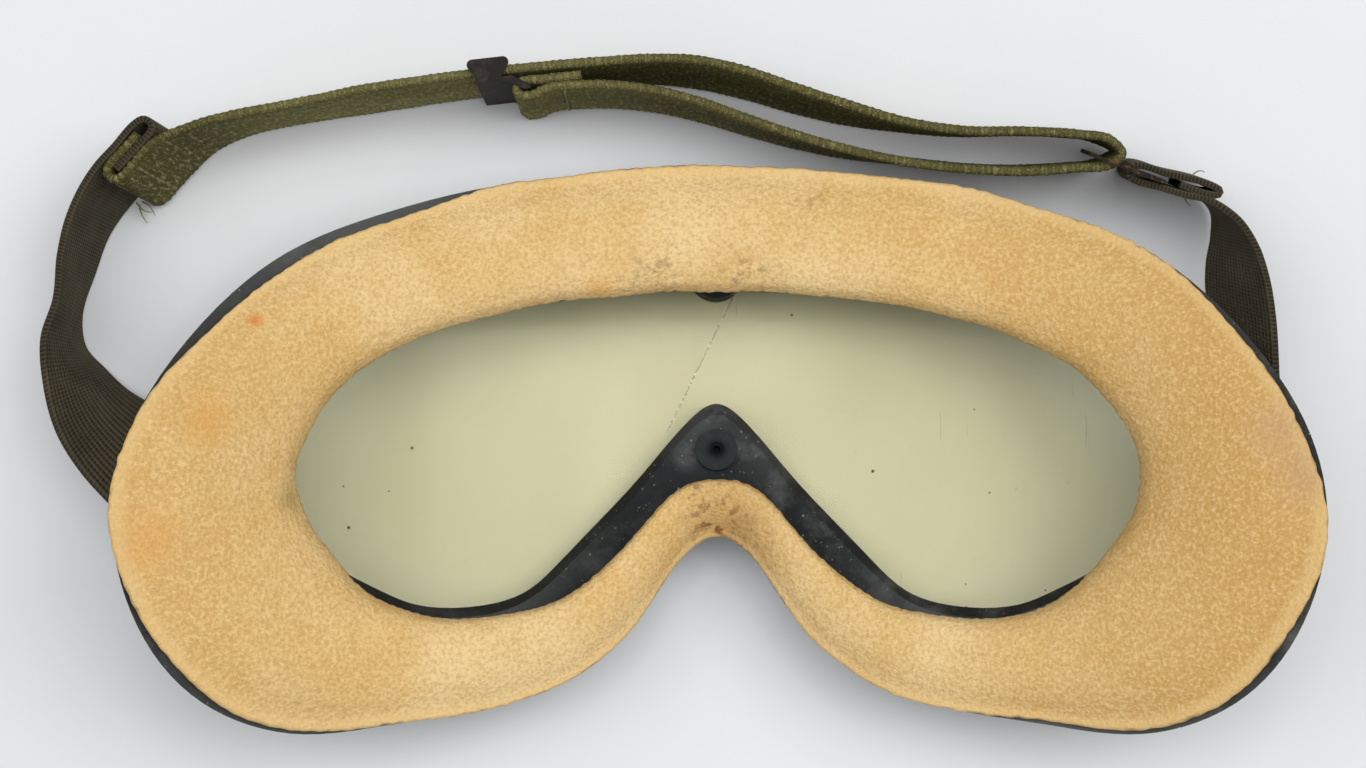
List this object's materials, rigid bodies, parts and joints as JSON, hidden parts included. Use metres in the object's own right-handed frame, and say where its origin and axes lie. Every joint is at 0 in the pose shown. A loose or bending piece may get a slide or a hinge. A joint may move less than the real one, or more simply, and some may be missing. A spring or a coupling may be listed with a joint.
{
  "type": "flying goggles",
  "caption": "One-piece-lens flying goggles with a rubber frame, a leather-covered face pad and an adjustable elastic head strap, lying lens down.",
  "frame": {"origin": "middle of the nose snap's flat front face, which rests on the table", "axes": "+X across the goggles towards the ring's end of the strap, +Y from the nose towards the brow, +Z away from the lens towards the wearer's face"},
  "size_m": [0.2025, 0.1117, 0.0532],
  "materials": {
    "rubber": "matt, dusty",
    "lens": "clear, pale green, lightly scratched",
    "foam": "open foam",
    "leather": "napped, unfinished",
    "snap_enamel": "worn black enamel",
    "snap_steel": "dull plated",
    "webbing": "woven cotton",
    "elastic": "ribbed elastic",
    "adjuster_enamel": "worn dark enamel",
    "ring_enamel": "worn dark enamel, some rust",
    "thread": "cotton thread"
  },
  "bodies": {
    "goggles": {"frame": "rubber", "lens": "lens", "face_pad": "foam", "leather_cover": "leather", "brow_snap_cap": "snap_enamel", "brow_snap_socket": "snap_steel", "brow_snap_stud": "snap_steel", "brow_snap_post": "snap_enamel", "nose_snap_cap": "snap_enamel", "nose_snap_socket": "snap_steel", "nose_snap_stud": "snap_steel", "nose_snap_post": "snap_enamel", "webbing": "webbing", "right_elastic": "elastic", "left_elastic": "elastic", "join_stitching": "thread", "fold_stitching": "thread", "right_lug_stitching": "thread", "left_lug_stitching": "thread"},
    "adjuster": {"adjuster": "adjuster_enamel", "return_run": "webbing", "return_stitching": "thread"},
    "ring": {"ring": "ring_enamel"}
  },
  "joints": [
    {"name": "adjuster_slide", "type": "slide", "parent": "goggles", "child": "adjuster", "axis": [0.9935, 0.114, 0], "range_m": [-0.012, 0.004], "deforming": ["return_run"]},
    {"name": "ring_hinge", "type": "hinge", "parent": "goggles", "child": "ring", "pos_m": [0.07332, 0.04493, 0.014], "axis": [-0.0801, -0.2003, 0.9765], "range_deg": [-4, 3]}
  ]
}
